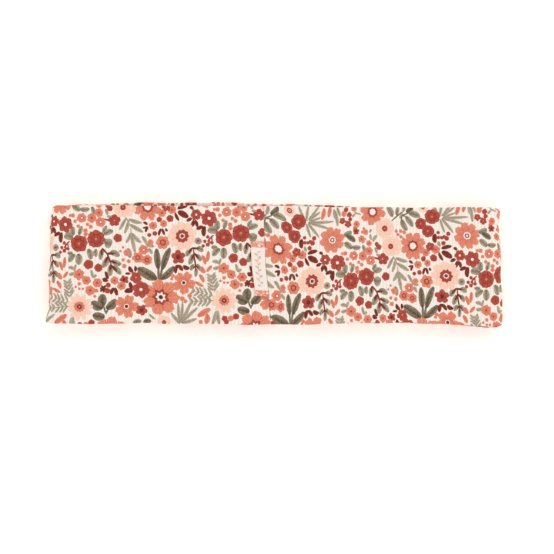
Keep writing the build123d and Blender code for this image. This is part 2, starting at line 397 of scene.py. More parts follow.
# How leaves bend and how flowers are turned, by their place in the list
LEAF_BEND, LEAF_BEND_STEP = 0.12, 2.1
FLOWER_TURN_STEP = 2.4

# The print's place on the loop: unrolled places, with the print's own X there and its shift in Y
PRINT_ALONG = [
    (-8.0, -67.1), (-3.4, -62.9), (1.2, -58.7), (16.8, -42.7), (34.7, -23.6), (62.5, 7.3),
    (71.0, 16.6), (78.1, 23.5), (96.5, 42.6), (328.4, 297.2), (335.4, 305.2), (424.0, 393.8),
    (450.0, 419.8),
]
PRINT_ACROSS = [
    (1.2, 19.0), (8.0, 20.5), (16.8, 20.4), (34.7, 19.9), (78.1, 20.9), (96.5, 21.2),
    (328.4, 18.0), (424.0, 18.0), (450.0, 18.0),
]
# Just right of the seam the print runs askew below ASKEW_FROM: its shift along and across per
# millimetre, and where it fades
ASKEW = (0.06, 0.085)
ASKEW_FROM = 7.5
ASKEW_FADE = [1.2, 8.0]

# How far across the print reaches at a long edge
EDGE_REACH = 27.05
# How many motifs may lie over one another, and a place that is well outside a motif
PRINT_SLOTS = 5
NOWHERE = 9.0
# How far beyond its size a motif is drawn, for its wobbly outline and its bend
MOTIF_REACH, FLOWER_REACH, LEAF_SIDE_REACH = 1.2, 1.12, 1.35


def print_place(u, v):
    """Where a point of the loop lies in the print."""
    pull = np.maximum(ASKEW_FROM - v, 0) * np.interp(u, ASKEW_FADE, [1, 0])
    p = np.interp(u, *zip(*PRINT_ALONG)) - ASKEW[0] * pull
    q = v + np.interp(u, *zip(*PRINT_ACROSS)) + ASKEW[1] * pull
    return p, q


def rows(text):
    """The entries of one of the lists above: a kind, and its numbers."""
    entries = []
    for entry in text.strip().replace("\n", ";").split(";"):
        words = entry.split()
        if words[0] in KINDS:
            kind = words.pop(0)
        entries.append((kind, [float(word) for word in words]))
    return entries


def leaf_motif(kind, base, tip, width, order):
    """A leaf as (code, middle, half length, half width, turn). The code's fraction bends it."""
    run = np.subtract(tip, base)
    bend = 0.5 + LEAF_BEND * math.sin(order * LEAF_BEND_STEP)
    spread = STEM_SPREAD if kind.endswith("stem") else LEAF_SPREAD
    half_length = math.hypot(*run) / 2 * LENGTH_SPREAD
    turn = math.atan2(run[1], run[0])
    return KINDS.index(kind) + bend, (np.array(base) + tip) / 2, half_length, width / 2 * spread, turn


def fern_leaves(x0, y0, x1, y1, length, width, pairs):
    """The stem and leaflets of a fern frond."""
    base = np.array([x0, y0])
    axis = np.array([x1, y1]) - base
    ahead = axis / math.hypot(*axis)
    side = np.array([-ahead[1], ahead[0]])
    yield "sage_stem", base, base + axis, FERN_STEM
    for pair in range(pairs):
        share = (pair + FERN_FIRST) / pairs
        root = base + axis * share
        reach = length * (1 - FERN_TAPER * share)
        for hand in (-1, 1):
            tip = root + reach * (LEAFLET_OUT * side * hand + LEAFLET_AHEAD * ahead)
            yield "sage", root, tip, width


def one_repeat():
    """Every motif of one repeat of the print, the lowest first."""
    leaves = []
    for kind, (x0, y0, x1, y1, width) in rows(LEAF_PLACES):
        leaves.append((kind, (x0, y0), (x1, y1), width))
    for fern in FERNS:
        leaves.extend(fern_leaves(*fern))
    for kind, (x0, y0, x1, y1, width) in rows(RIGHT_LEAVES):
        leaves.append((kind, print_place(x0, y0), print_place(x1, y1), width))
    leaves.sort(key=lambda leaf: leaf[0].startswith("maroon"))
    flowers = [(kind, (x, y), radius) for kind, (x, y, radius) in rows(FLOWER_PLACES)]
    flowers += [(kind, print_place(x, y), radius) for kind, (x, y, radius) in rows(RIGHT_FLOWERS)]
    motifs = [leaf_motif(*leaf, order) for order, leaf in enumerate(leaves)]
    for order, (kind, middle, radius) in enumerate(flowers):
        radius = radius * FLOWER_SPREAD
        turn = order * FLOWER_TURN_STEP
        motifs.append((KINDS.index(kind) + 0.5, np.array(middle), radius, radius, turn))
    return motifs


def no_motifs(*shape):
    """Room for places inside motifs, filled with places that no motif reaches."""
    place = np.full((*shape, 3), NOWHERE, np.float32)
    place[..., 2] = 0.5
    return place


def distance_outside(values):
    """For each face, how far its corners' values all lie from 0 on one side."""
    return np.maximum(0, np.maximum(values.min(axis=1), -values.max(axis=1)))


def place_print(p, q):
    """For each face, given its corners' places in the print, the motifs that reach it.

    A slot holds, for each corner, its place inside a motif and the motif's code. Slot 0 is on top.
    """
    place = no_motifs(PRINT_SLOTS, len(p), 4)
    used = np.zeros(len(p), int)
    p_low, p_high = p.min(axis=1), p.max(axis=1)
    q_low, q_high = q.min(axis=1), q.max(axis=1)
    repeats = range(int(p.min() // REPEAT[0]) - 1, int(p.max() // REPEAT[0]) + 3)
    for code, middle, half_length, half_width, turn in reversed(one_repeat()):
        reach = max(half_length, half_width) * MOTIF_REACH
        is_leaf = code > len(FLOWERS)
        for repeat in repeats:
            x = middle[0] + repeat * REPEAT[0]
            y = middle[1] + repeat * REPEAT[1]
            near = (p_high > x - reach) & (p_low < x + reach) & (q_high > y - reach) & (q_low < y + reach)
            near = np.flatnonzero(near & (used < PRINT_SLOTS))
            if not len(near):
                continue
            dx, dy = p[near] - x, q[near] - y
            along = (dx * math.cos(turn) + dy * math.sin(turn)) / half_length
            across = (dy * math.cos(turn) - dx * math.sin(turn)) / half_width
            gap_x, gap_y = distance_outside(along), distance_outside(across)
            if is_leaf:
                touched = (gap_x < 1) & (gap_y < LEAF_SIDE_REACH)
            else:
                touched = np.hypot(gap_x, gap_y) < FLOWER_REACH
            near = near[touched]
            place[used[near], near, :, 0] = along[touched]
            place[used[near], near, :, 1] = across[touched]
            place[used[near], near, :, 2] = code
            used[near] += 1
    return place


# ---- meshes


def add_to_scene(name, data, place=(0, 0, 0)):
    """A new object in the scene."""
    thing = bpy.data.objects.new(name, data)
    thing.location = place
    bpy.context.scene.collection.objects.link(thing)
    return thing


def make_object(name, points, quads, caps, material, smooth_caps=False):
    """An object from points in millimetres."""
    mesh = bpy.data.meshes.new(name)
    mesh.from_pydata((points.reshape(-1, 3) * MM).tolist(), [], quads.tolist() + caps)
    mesh.polygons.foreach_set("use_smooth", [True] * len(quads) + [smooth_caps] * len(caps))
    mesh.validate()
    mesh.materials.append(material)
    return add_to_scene(name, mesh)


def add_attribute(piece, name, values, domain="POINT"):
    """A vector attribute, on the points or on the corners."""
    attribute = piece.data.attributes.new(name, "FLOAT_VECTOR", domain)
    attribute.data.foreach_set("vector", np.asarray(values, np.float32).ravel())


def swept_faces(columns, ring):
    """The quads between rings of points that follow one another, and the two end caps."""
    j, i = np.meshgrid(np.arange(columns - 1), np.arange(ring), indexing="ij")
    ahead = (i + 1) % ring
    quads = np.stack([j * ring + i, (j + 1) * ring + i, (j + 1) * ring + ahead, j * ring + ahead], axis=-1)
    quads = quads.reshape(-1, 4)
    return quads, [list(range(ring)), list(range((columns - 1) * ring, columns * ring))[::-1]]


# The panel's section: rows on its printed face, steps round a folded edge, and places on its back
FRONT_ROWS = 30
NOSE_STEPS = 5
BACK_V = [24.6, 22.4, 21.4, 16, 8, 0, -8, -16, -21.4, -22.4, -24.6]
# The depth of the groove at the steps of each rib, and where the rows next to the seam lie
GROOVE = [1.0, 0.3, 0.0, 0.3]
END_ROWS = np.array([0.0, 0.07, 0.2])
END_GROOVE = 0.6
RIBS_FROM = 0.3
# At a cross seam: the roll of its edges, how soon its gap and its line fade, and its allowance
SEAM_ROLL = 0.5
GAP_FADE = 3
LINE_FADE = 30
SEAM_ALLOWANCE = 5.6
ALLOWANCE_STEP = 0.8


def panel_section():
    """A panel's section: places across it, their share of its thickness, and which are printed."""
    angle = math.pi * np.arange(1, NOSE_STEPS + 1) / (NOSE_STEPS + 1)
    nose = EDGE_V + PLY * np.sin(angle)
    level = (1 - np.cos(angle)) / 2
    face = EDGE_V * np.linspace(-1, 1, FRONT_ROWS + 1)
    back = np.array([EDGE_V, *BACK_V, -EDGE_V])
    v = np.concatenate([face, nose, back, -nose])
    depth = np.concatenate([np.zeros(len(face)), level, np.ones(len(back)), 1 - level])
    printed = np.repeat([True, True, False, True], [len(face), len(nose), len(back), len(nose)])
    return v, depth, printed


def panel_rows():
    """The rows of a panel from seam round to seam, and the depth of the groove there."""
    rib_u = np.linspace(0, LOOP, round(LOOP / RIB) * len(GROOVE) + 1)
    inner = (rib_u > RIBS_FROM) & (rib_u < LOOP - RIBS_FROM)
    groove = np.array(GROOVE)[np.arange(len(rib_u)) % len(GROOVE)]
    u = np.concatenate([END_ROWS, rib_u[inner], LOOP - END_ROWS[::-1]])
    return u, np.pad(groove[inner], len(END_ROWS), constant_values=END_GROOVE)


def panel_print(place, y, v, depth):
    """Where a panel's points lie in the print, which goes round both folded edges with the cloth."""
    across = np.where(np.abs(v) > EDGE_V, np.sign(v) * (EDGE_V + PLY * math.pi * depth), v)
    across = np.broadcast_to(across, place.shape) * EDGE_REACH / HALF_WIDTH
    flat_x = np.interp(place, TURN_U, TURN_X)
    lean = end_shift(flat_x, y) * np.cos(np.interp(place, TURN_U, TURN_ANGLE))
    p, q = print_place(place + lean, across)
    return p.ravel(), q.ravel()


def make_panel(name, face_radius, inward, seam_x, seam_line, seam_gap):
    """One panel, carried round the loop from its seam back to its seam."""
    v, depth, printed = panel_section()
    u, groove = panel_rows()
    uu, vv = np.meshgrid(u, v, indexing="ij")
    distance = np.minimum(uu, LOOP - uu)
    half_gap = np.where(uu < LOOP / 2, 1, -1) * seam_gap(vv) / 2
    place = seam_x + uu + half_gap * (1 - smooth(distance / GAP_FADE))
    place = place + seam_line(vv) * (1 - smooth(distance / LINE_FADE))

    turned_in = smooth((np.abs(vv) - ALLOWANCE_V) / ALLOWANCE_STEP)
    seam_turned_in = 1 - smooth((distance - SEAM_ALLOWANCE) / ALLOWANCE_STEP)
    thickness = PLY * (1 + np.maximum(turned_in, seam_turned_in))
    roll = SEAM_ROLL * (1 - np.sqrt(1 - np.clip(1 - distance / SEAM_ROLL, 0, 1) ** 2))
    ribbing = RIB_DEPTH * groove[:, None] * (depth < 0.5)
    below = depth * thickness + roll * (1 - depth) + ribbing
    r = face_radius + below if inward else face_radius - below

    points = cloth_point(place, vv, r)
    quads, caps = swept_faces(len(u), len(v))
    if inward:
        quads = quads[:, ::-1]
        caps = [cap[::-1] for cap in caps]
    piece = make_object(name, points, quads, caps, jersey)

    # The reverse of the cloth has no print
    p, q = panel_print(place, points[..., 1], v, depth)
    is_printed = np.tile(printed, len(u))[quads].any(axis=1)
    corners = no_motifs(PRINT_SLOTS, len(quads), 4)
    corners[:, is_printed] = place_print(p[quads[is_printed]], q[quads[is_printed]])
    cap_corners = no_motifs(2 * len(v))
    for slot in range(PRINT_SLOTS):
        values = np.concatenate([corners[slot].reshape(-1, 3), cap_corners])
        add_attribute(piece, f"print_{slot}", values, "CORNER")
    cloth = np.stack(np.broadcast_arrays(uu, vv, groove[:, None]), axis=-1)
    add_attribute(piece, "cloth", cloth)
    add_attribute(piece, "grain", cloth * CLOTH_GRAIN)
    return piece


# The thread's tube, and a direction that no thread follows
THREAD_RADIUS = 0.11
THREAD_SIDES = 6
OFF_PATH = np.array([0.31, 0.47, 0.83])


def make_thread_tube(name, path):
    """A thread: a closed tube along a path of points."""
    ahead = np.gradient(path, axis=0)
    ahead /= np.linalg.norm(ahead, axis=1)[:, None]
    side = np.cross(ahead, OFF_PATH)
    side /= np.linalg.norm(side, axis=1)[:, None]
    other = np.cross(ahead, side)
    turn = np.arange(THREAD_SIDES) / THREAD_SIDES * 2 * math.pi
    ring = side[:, None] * np.cos(turn)[:, None] + other[:, None] * np.sin(turn)[:, None]
    points = path[:, None] + ring * THREAD_RADIUS
    quads, caps = swept_faces(len(path), THREAD_SIDES)
    piece = make_object(name, points, quads, caps, thread, smooth_caps=True)
    run = np.concatenate([[0], np.cumsum(np.linalg.norm(np.diff(path, axis=0), axis=1))])
    add_attribute(piece, "thread", np.stack(np.broadcast_arrays(run[:, None], turn, 0.0), axis=-1))
    return piece


# ---- shaders


class Field:
    """A number in a shader. Arithmetic on it adds math nodes."""

    def __init__(self, tree, socket):
        self.tree = tree
        self.socket = socket

    def op(self, operation, *others, clamp=False):
        """A math node on this number and others, which are numbers or fields."""
        node = self.tree.nodes.new("ShaderNodeMath")
        node.operation = operation
        node.use_clamp = clamp
        for number, value in enumerate((self,) + others):
            if isinstance(value, Field):
                self.tree.links.new(value.socket, node.inputs[number])
            else:
                node.inputs[number].default_value = value
        return Field(self.tree, node.outputs[0])

    def __rsub__(self, other):
        return self * -1.0 + other

    __add__ = partialmethod(op, "ADD")
    __sub__ = partialmethod(op, "SUBTRACT")
    __mul__ = partialmethod(op, "MULTIPLY")
    __truediv__ = partialmethod(op, "DIVIDE")
    __lt__ = partialmethod(op, "LESS_THAN")
    __gt__ = partialmethod(op, "GREATER_THAN")
    __abs__ = partialmethod(op, "ABSOLUTE")

    def mixed(self, other, share):
        """This where the share is 0, and the other where it is 1."""
        return self + (other - self) * share

    def step(self, low, high):
        """0 below low, 1 above high, and smooth between them."""
        node = self.tree.nodes.new("ShaderNodeMapRange")
        node.interpolation_type = "SMOOTHSTEP"
        self.tree.links.new(self.socket, node.inputs[0])
        node.inputs[1].default_value = low
        node.inputs[2].default_value = high
        return Field(self.tree, node.outputs[0])


def split(tree, socket, is_colour=False):
    """The three numbers of a vector or colour."""
    node = tree.nodes.new("ShaderNodeSeparateColor" if is_colour else "ShaderNodeSeparateXYZ")
    tree.links.new(socket, node.inputs[0])
    return [Field(tree, node.outputs[number]) for number in range(3)]


# A look-up table has at most 32 rows of numbers from 0 to 1. Counts are kept as shares.
TABLE_SCALE = 20
TABLE_ROWS = 32


def look_up(tree, number, table):
    """Rows of four numbers, looked up by a field that runs from 0 to their count."""
    node = tree.nodes.new("ShaderNodeValToRGB")
    node.color_ramp.interpolation = "CONSTANT"
    elements = node.color_ramp.elements
    while len(elements) < len(table):
        elements.new(1.0)
    for row, values in enumerate(table):
        elements[row].position = row / TABLE_ROWS
        elements[row].color = values
    tree.links.new((number / TABLE_ROWS).socket, node.inputs[0])
    return node


def look_up_numbers(tree, number, table):
    """The four numbers of the looked-up row, as fields."""
    node = look_up(tree, number, table)
    return split(tree, node.outputs[0], True) + [Field(tree, node.outputs[1])]


def linear(colour):
    """A screen colour from 0 to 255, as the light it stands for."""
    values = [c / 255 for c in colour]
    return [v / 12.92 if v <= 0.04045 else ((v + 0.055) / 1.055) ** 2.4 for v in values]


def noise(tree, vector, scale, detail=2.0):
    """Noise from 0 to 1 on a vector socket."""
    node = tree.nodes.new("ShaderNodeTexNoise")
    node.inputs["Scale"].default_value = scale
    node.inputs["Detail"].default_value = detail
    tree.links.new(vector, node.inputs["Vector"])
    return Field(tree, node.outputs[0])


def attribute(tree, name):
    """The socket of a mesh's vector attribute."""
    node = tree.nodes.new("ShaderNodeAttribute")
    node.attribute_name = name
    return node.outputs["Vector"]


# How motifs are drawn. Sizes are shares of a flower's radius, and of half a leaf's length and width.
FLOWER_WOBBLE, LEAF_WOBBLE = 0.42, 0.30
NOTCH_FROM, NOTCH_SLOPE = 0.86, 7.0
EYE_SCALLOP = 1.5
# Flowers with more petals than this have lines in the gaps between them, and streaks
PLAIN_PETALS = 4.4
GAP_LINE, GAP_LINE_FROM = 0.30, 0.30
STREAKS, STREAK = 3.0, 0.55
BEND_SCALE = 2.4
VEIN_WIDTH = 0.16


def kind_rows():
    """For each kind, the row of its flower's eight numbers and four inks. A leaf has few of them."""
    kinds = []
    for petals, *values in FLOWERS.values():
        inks = [INK_NAMES.index(ink) / TABLE_SCALE for ink in values[7:]]
        kinds.append([petals / TABLE_SCALE, *values[:7], *inks])
    for name, (vein, bluntness) in LEAVES.items():
        ink = INK_NAMES.index(name.split("_")[0]) / TABLE_SCALE
        kinds.append([0, vein, bluntness, 0, 0, 0, 0, 0, ink, 0, 0, 0])
    return kinds


def draw_flower(
    x, y, wobble, petals, depth, roundness, notch, ring, scallop, eye, pip,
    petal_ink, ring_ink, eye_ink, pip_ink,
):
    """How far a place lies inside a flower, its ink and its shade."""
    turn = y.op("ARCTAN2", x) * petals * TABLE_SCALE
    is_large = petals > PLAIN_PETALS / TABLE_SCALE
    radius = (x * x + y * y).op("SQRT") * (wobble * FLOWER_WOBBLE + 1.0)
    swing = abs((turn / 2.0).op("COSINE"))
    notched = (swing - NOTCH_FROM).op("MAXIMUM", 0.0) * NOTCH_SLOPE * notch
    outline = swing.op("POWER", roundness) * depth - depth + 1.0 - notched
    scallops = turn.op("COSINE") * scallop
    ink = petal_ink.mixed(ring_ink, radius + scallops * ring < ring)
    ink = ink.mixed(eye_ink, radius + scallops * eye * EYE_SCALLOP < eye)
    ink = ink.mixed(pip_ink, radius < pip)
    gap_line = (swing < GAP_LINE) * (radius > GAP_LINE_FROM) * is_large
    streak = (turn * STREAKS).op("COSINE") * is_large * STREAK
    return outline - radius, ink, radius * 1.5 - 0.6 + streak - gap_line * 2.2


def draw_leaf(x, y, wobble, code, vein_depth, bluntness):
    """How far a place lies inside a leaf, and its shade. The code's fraction bends the leaf."""
    bend = (code.op("FRACT") - 0.5) * BEND_SCALE
    swell = (1.0 - x * x).op("MAXIMUM", 0.0)
    side = y - bend * swell + wobble * LEAF_WOBBLE
    vein = (abs(side) < VEIN_WIDTH) * vein_depth
    inside = swell.op("POWER", bluntness) - abs(side)
    return inside, x * 0.35 + abs(side) * 1.4 - 0.5 - vein * 0.7


def make_motif_group():
    """The node group that draws one motif over what lies under it."""
    tree = bpy.data.node_groups.new("printed_motif", "ShaderNodeTree")
    for name, kind in (("place", "Vector"), ("ink", "Float"), ("shade", "Float"), ("wobble", "Float")):
        tree.interface.new_socket(name, in_out="INPUT", socket_type=f"NodeSocket{kind}")
    for name in ("ink", "shade"):
        tree.interface.new_socket(name, in_out="OUTPUT", socket_type="NodeSocketFloat")
    start = tree.nodes.new("NodeGroupInput")
    finish = tree.nodes.new("NodeGroupOutput")
    x, y, code = split(tree, start.outputs["place"])
    ink, shade, wobble = (Field(tree, start.outputs[name]) for name in ("ink", "shade", "wobble"))

    numbers = []
    for first in (0, 4, 8):
        numbers += look_up_numbers(tree, code, [row[first:first + 4] for row in kind_rows()])

    in_flower, flower_ink, flower_shade = draw_flower(x, y, wobble, *numbers)
    in_leaf, leaf_shade = draw_leaf(x, y, wobble, code, *numbers[1:3])
    is_leaf = code > float(len(FLOWERS))
    inside = in_flower.mixed(in_leaf, is_leaf) > 0.0
    new_ink = flower_ink.mixed(numbers[8], is_leaf) * TABLE_SCALE
    new_shade = flower_shade.mixed(leaf_shade, is_leaf)
    tree.links.new(ink.mixed(new_ink, inside).socket, finish.inputs["ink"])
    tree.links.new(shade.mixed(new_shade, inside).socket, finish.inputs["shade"])
    return tree


def new_material(name, **values):
    """A material, its node tree and its shader, which has the given values in its inputs."""
    material = bpy.data.materials.new(name)
    material.use_nodes = True
    shader = material.node_tree.nodes["Principled BSDF"]
    for key, value in values.items():
        shader.inputs[key.replace("_", " ")].default_value = value
    return material, material.node_tree, shader


def new_cloth(name, roughness, sheen):
    """A cloth material."""
    return new_material(
        name, Roughness=roughness, Specular_IOR_Level=0.1, Sheen_Weight=sheen, Sheen_Roughness=0.5
    )


def add_bump(tree, shader, height, distance, strength=1.0):
    """Relief from a height field, with its distance in metres."""
    node = tree.nodes.new("ShaderNodeBump")
    node.inputs["Strength"].default_value = strength
    node.inputs["Distance"].default_value = distance
    tree.links.new(height.socket, node.inputs["Height"])
    tree.links.new(node.outputs[0], shader.inputs["Normal"])


def mix_colour(tree, first, second, share):
    """A mix of two colours; each is a socket, or a screen colour from 0 to 255."""
    node = tree.nodes.new("ShaderNodeMix")
    node.data_type = "RGBA"
    for socket, colour in ((node.inputs[6], first), (node.inputs[7], second)):
        if isinstance(colour, bpy.types.NodeSocket):
            tree.links.new(colour, socket)
        else:
            socket.default_value = (*linear(colour), 1)
    tree.links.new(share.socket, node.inputs[0])
    return node.outputs[2]


# The jersey: how the noise of its grain is stretched, and its knitted stitches
CLOTH_GRAIN = [0.9, 0.12, 0]
STITCH_HEIGHT, STITCH_SLANT = 0.95, 1.1


def make_jersey():
    """The printed jersey: motifs in inks on cream, on vertical ribs of knitted stitches."""
    material, tree, shader = new_cloth("printed_jersey", 0.9, 0.04)
    cloth = attribute(tree, "cloth")
    along, across, groove = split(tree, cloth)
    wobble = noise(tree, cloth, 0.6, 3.0) - 0.5
    group = make_motif_group()
    ink_socket, shade_socket = None, None
    for slot in reversed(range(PRINT_SLOTS)):
        node = tree.nodes.new("ShaderNodeGroup")
        node.node_tree = group
        tree.links.new(attribute(tree, f"print_{slot}"), node.inputs["place"])
        tree.links.new(wobble.socket, node.inputs["wobble"])
        if ink_socket:
            tree.links.new(ink_socket, node.inputs["ink"])
            tree.links.new(shade_socket, node.inputs["shade"])
        ink_socket, shade_socket = node.outputs["ink"], node.outputs["shade"]
    ink = Field(tree, ink_socket) + 0.5
    shade = Field(tree, shade_socket)

    light = look_up(tree, ink, [(*linear(values[:3]), 1) for values in INKS.values()])
    dark = look_up(tree, ink, [(*linear(values[3:]), 1) for values in INKS.values()])
    mottle = (noise(tree, cloth, 0.9, 3.0) - 0.5) * 1.5 + (noise(tree, cloth, 2.6, 1.0) - 0.5) * 1.2
    tone = (shade * 0.5 + 0.5 + mottle).op("MULTIPLY", 1.0, clamp=True)
    colour = mix_colour(tree, dark.outputs[0], light.outputs[0], tone)

    # Painted shade: the grooves between the ribs are painted a little darker on bare cloth. On the print
    # they take less ink, so bare yarn shows there
    bare = ink < 1.0
    # The patches vary at random how strong the painted groove shade and the missing ink are
    patchiness = noise(tree, attribute(tree, "grain"), 1.0).step(0.3, 0.7)
    groove_shade_and_bare_yarn = groove.step(0.3, 1.0) * (bare * 0.55 + 0.06) * (patchiness * 0.8 + 0.2)
    # The mix colour is the painted groove shade on cream, and the bare yarn under the inks
    colour = mix_colour(tree, colour, (228, 208, 194), groove_shade_and_bare_yarn)
    tree.links.new(colour, shader.inputs["Base Color"])

    # Stitches: V shapes up each rib
    rib_place = (along / RIB).op("FRACT") - 0.5
    stitches = ((across / STITCH_HEIGHT + abs(rib_place) * STITCH_SLANT) * 2 * math.pi).op("SINE") * 0.5
    fluff = noise(tree, cloth, 7.0, 3.0)
    add_bump(tree, shader, stitches + fluff * 0.8, 0.00007, 0.6)
    rough = fluff * 0.12 + 0.82
    tree.links.new(rough.socket, shader.inputs["Roughness"])
    return material


def make_thread():
    """Sewing thread: two plies twisted together."""
    material, tree, shader = new_cloth("sewing_thread", 0.7, 0.2)
    along, turn, _ = split(tree, attribute(tree, "thread"))
    twist = (along * 5.0 + turn).op("SINE")
    # Painted shade: the thread is painted darker in the grooves of its twist, where its relief is low
    colour = mix_colour(tree, (226, 205, 190), (246, 234, 222), twist.step(-1.0, 1.0))
    tree.links.new(colour, shader.inputs["Base Color"])
    add_bump(tree, shader, twist, 0.00004)
    return material


# The label: its ends along the seam, how far it reaches out there, how far its free edge is set
# along at its lower end, and the middle of its print out from the seam and along it
LABEL_TOP, LABEL_BOTTOM = 11.25, -14.75
LABEL_REACH_TOP, LABEL_REACH_BOTTOM = 6.35, 5.8
LABEL_SKEW = 0.35
LABEL_MIDDLE = 3.3
LABEL_CENTRE = -1.7
RIBBON_GRAIN = [1.6, 0.25, 1.0]
# The vine: half its length, its stem, and its leaves' steps along it and sizes. Then where the
# speckled bands begin from the centre, and the weave's threads.
VINE_REACH = 8.4
STEM_WAVE, STEM_SWING, STEM_HALF_WIDTH = 1.5, 0.2, 0.14
LEAF_STEP, LEAF_OUT, LEAF_LENGTH, LEAF_WIDTH = 1.5, 0.8, 1.15, 0.72
BAND_FROM = 10.2
WEAVE = 14


def make_ribbon():
    """The label's ribbon: pale, with a speckled band at each end and a small vine between them."""
    material, tree, shader = new_cloth("label_ribbon", 0.75, 0.1)
    place = attribute(tree, "ribbon")
    across, along, _ = split(tree, place)
    from_centre = abs(along - LABEL_CENTRE)
    streaks = noise(tree, attribute(tree, "ribbon_grain"), 1.0)
    colour = mix_colour(tree, (243, 229, 216), (252, 242, 232), streaks)

    # A small vine up the middle, with leaves to its left and right in turn
    stem = across - (along * STEM_WAVE).op("SINE") * STEM_SWING - LABEL_MIDDLE
    in_reach = (from_centre < VINE_REACH) * 0.75
    colour = mix_colour(tree, colour, (204, 186, 168), (abs(stem) < STEM_HALF_WIDTH) * in_reach)
    hand = ((along / (2 * LEAF_STEP)).op("FRACT") > 0.5) * 2 - 1
    out = stem * hand - LEAF_OUT
    up = (along / LEAF_STEP).op("FRACT") * LEAF_STEP - LEAF_STEP / 2
    length, width = (out + up) / LEAF_LENGTH, (out - up) / LEAF_WIDTH
    in_leaf = length * length + width * width < 1.0
    is_sage = (along / (3 * LEAF_STEP)).op("FRACT") > 0.67
    leaf = mix_colour(tree, (238, 152, 132), (176, 166, 148), is_sage)
    patchiness = noise(tree, place, 1.4).step(0.2, 0.55)
    colour = mix_colour(tree, colour, leaf, in_leaf * in_reach * (patchiness * 0.85 + 0.15))

    # The speckled bands
    speckle = noise(tree, place, 1.1).step(0.36, 0.56)
    band = mix_colour(tree, (247, 205, 186), (228, 130, 108), speckle)
    cells = tree.nodes.new("ShaderNodeTexVoronoi")
    cells.inputs["Scale"].default_value = 0.62
    tree.links.new(place, cells.inputs["Vector"])
    dots = Field(tree, cells.outputs["Distance"]) < 0.27
    band = mix_colour(tree, band, (255, 247, 240), dots)
    colour = mix_colour(tree, colour, band, (from_centre > BAND_FROM) * 0.95)
    tree.links.new(colour, shader.inputs["Base Color"])

    weave = (across * WEAVE).op("SINE") * (along * WEAVE).op("SINE")
    add_bump(tree, shader, weave + streaks, 0.00003, 0.6)
    return material


jersey = make_jersey()
thread = make_thread()
ribbon = make_ribbon()

# ---- the panels

# The outer cross seam's line leans, and wanders from it. It is pressed shut, except at the label.
SEAM_WANDER = [(-28, 0.75), (-15, 0.3), (0, -0.35), (11, 0.0), (28, 0.6)]
SEAM_GAP, LABEL_GAP, LINING_GAP = 0.06, 0.5, 0.3
LABEL_GAP_FADE = 0.8


def outer_seam_line(v):
    """The outer seam's line, as X from its middle."""
    return SEAM_SLOPE * v + eased(v, SEAM_WANDER)


def outer_seam_gap(v):
    """How wide the outer seam stands open."""
    below_top = smooth((LABEL_TOP - v) / LABEL_GAP_FADE + 1)
    above_bottom = smooth((v - LABEL_BOTTOM) / LABEL_GAP_FADE + 1)
    return SEAM_GAP + LABEL_GAP * below_top * above_bottom


def lining_seam_line(v):
    """The lining's seam is straight."""
    return np.zeros(np.shape(v))


def lining_seam_gap(v):
    """The lining's seam stands open a little all along."""
    return np.full(np.shape(v), LINING_GAP)


outer = make_panel("outer_cloth", FOLD_RADIUS, False, SEAM_X, outer_seam_line, outer_seam_gap)
lining = make_panel("lining_cloth", LINING_RADIUS, True, LINING_SEAM_X, lining_seam_line, lining_seam_gap)

# ---- sewing thread

# A stitch's length, and how many points draw it
STITCH = 1.3
STITCH_POINTS = 4
# The zigzag along the edges: its middle between the panels, its swing and how far out it lies
EDGE_R = FOLD_RADIUS - TWO_PLIES
ZIGZAG, ZIGZAG_OUT = 0.27, 0.47
# The cross seams' ladders: how deep they lie, and their half widths
OUTER_LADDER = (0.62, 0.2)
LINING_LADDER = (0.5, 0.22)


def edge_stitches(side):
    """A zigzag in the groove between the two panels' folded edges."""
    count = int(LOOP / STITCH * STITCH_POINTS)
    beat = np.arange(count) * math.pi / 2
    u = np.linspace(SEAM_X + 0.4, SEAM_X + LOOP - 0.4, count)
    r = EDGE_R + ZIGZAG * np.cos(beat)
    v = side * (EDGE_V + ZIGZAG_OUT + 0.08 * np.cos(2 * beat))
    return cloth_point(u, v, r)


def cross_stitches(seam_x, seam_line, face_radius, inward, depth, half_width):
    """Ladder stitches that hold the two ends of a panel together."""
    count = int(2 * EDGE_V / STITCH * STITCH_POINTS)
    beat = np.arange(count) * math.pi / 2
    v = np.linspace(-EDGE_V + 0.3, EDGE_V - 0.3, count)
    u = seam_x + seam_line(v) + half_width * np.sin(beat)
    r = face_radius + inward * depth + 0.05 * np.cos(2 * beat)
    return cloth_point(u, v, r)


threads = {
    "upper_seam_thread": edge_stitches(1),
    "lower_seam_thread": edge_stitches(-1),
    "cross_seam_thread": cross_stitches(SEAM_X, outer_seam_line, FOLD_RADIUS, -1, *OUTER_LADDER),
    "lining_cross_seam_thread": cross_stitches(
        LINING_SEAM_X, lining_seam_line, LINING_RADIUS, 1, *LINING_LADDER
    ),
}

# ---- the label

RIBBON_THICKNESS = 0.2
# The ribbon's line across the seam: how far left of the seam, and how high over the cloth
FLAP_LINE = [
    (-0.16, -0.55), (-0.16, -0.15), (0.05, 0.42), (0.7, 0.64), (2.6, 0.6), (4.8, 0.66), (5.9, 0.62),
    (6.4, 0.40), (5.9, 0.18), (4.6, 0.15), (2.5, 0.16), (0.8, 0.15), (0.25, 0.02), (0.12, -0.3),
    (0.12, -0.55),
]
TAIL_LINE = [
    (5.2, -1.64), (2.6, -1.64), (0.3, -1.66), (-0.16, -1.45), (-0.16, -0.75), (-0.02, -0.6),
    (0.12, -0.75), (0.12, -1.2), (0.5, -1.38), (2.6, -1.38), (5.2, -1.38),
]
# The flap line's furthest point, the ribbon's rows, and how the flap's free edge is lifted
FLAP_REACH = 6.4
RIBBON_ROWS = 36
EDGE_ROW = 0.004
FLAP_WAVES = [(0.10, 2.6, 0), (0.07, 1.3, 2)]
FLAP_LIFT = 0.32


